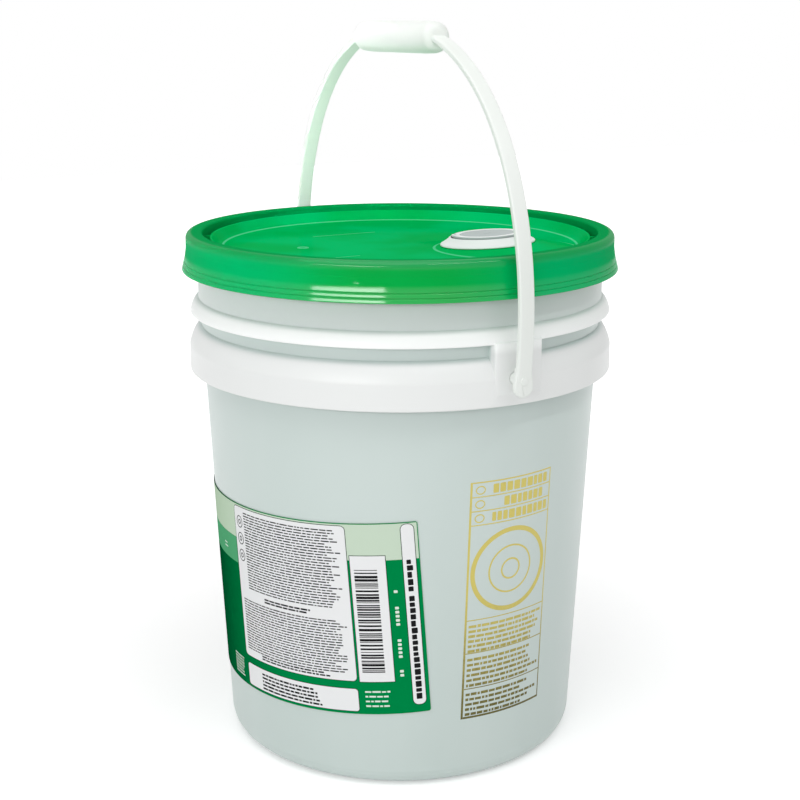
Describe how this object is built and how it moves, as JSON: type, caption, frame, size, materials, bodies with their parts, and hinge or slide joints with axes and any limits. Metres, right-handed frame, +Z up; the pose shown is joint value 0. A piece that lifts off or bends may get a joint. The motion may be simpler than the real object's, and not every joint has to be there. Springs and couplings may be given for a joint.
{
  "type": "plastic pail",
  "caption": "Round tapered plastic pail with stacking rings, press-on lid, pull-up pour spout and a swinging strap bail with a fat grip.",
  "frame": {"origin": "middle of the foot ring, on the surface the pail stands on", "axes": "+Z up; +X towards the ear nearer the spout, along the bail's pivot line; +Y square to it"},
  "size_m": [0.3318, 0.312, 0.5166],
  "materials": {
    "body_plastic": "translucent natural polyethylene, satin",
    "label_film": "printed film, satin",
    "lid_plastic": "opaque green, glossy",
    "seal_foam": "soft foam, dull",
    "bail_plastic": "natural white polyethylene, satin",
    "white_plastic": "natural white polyethylene, satin",
    "grey_plastic": "light grey, satin"
  },
  "bodies": {
    "pail": {"pail": "body_plastic", "front_label": "label_film"},
    "bail": {"bail_handle": "bail_plastic"},
    "lid": {"lid": "lid_plastic", "lid_gasket": "seal_foam", "spout_ring": "white_plastic"},
    "spout": {"spout_neck": "white_plastic"},
    "cap": {"spout_cap": "grey_plastic", "cap_liner": "seal_foam"},
    "pull_ring": {"cap_pull_ring": "white_plastic"}
  },
  "joints": [
    {"name": "bail_swing", "type": "hinge", "parent": "pail", "child": "bail", "pos_m": [0, 0, 0.294], "axis": [1, 0, 0], "range_deg": [-135, 135]},
    {"name": "lid_lift", "type": "slide", "parent": "pail", "child": "lid", "axis": [0, 0, 1], "range_m": [0, 0.0219]},
    {"name": "spout_pull", "type": "slide", "parent": "lid", "child": "spout", "axis": [-0.0446, -0.0416, 0.9981], "range_m": [0, 0.034]},
    {"name": "cap_off", "type": "slide", "parent": "spout", "child": "cap", "axis": [-0.0446, -0.0416, 0.9981], "range_m": [0, 0.0105]},
    {"name": "pull_ring_lift", "type": "hinge", "parent": "cap", "child": "pull_ring", "pos_m": [0.03544, 0.02274, 0.36987], "axis": [0.8742, -0.4852, 0.0189], "range_deg": [0, 95]}
  ]
}
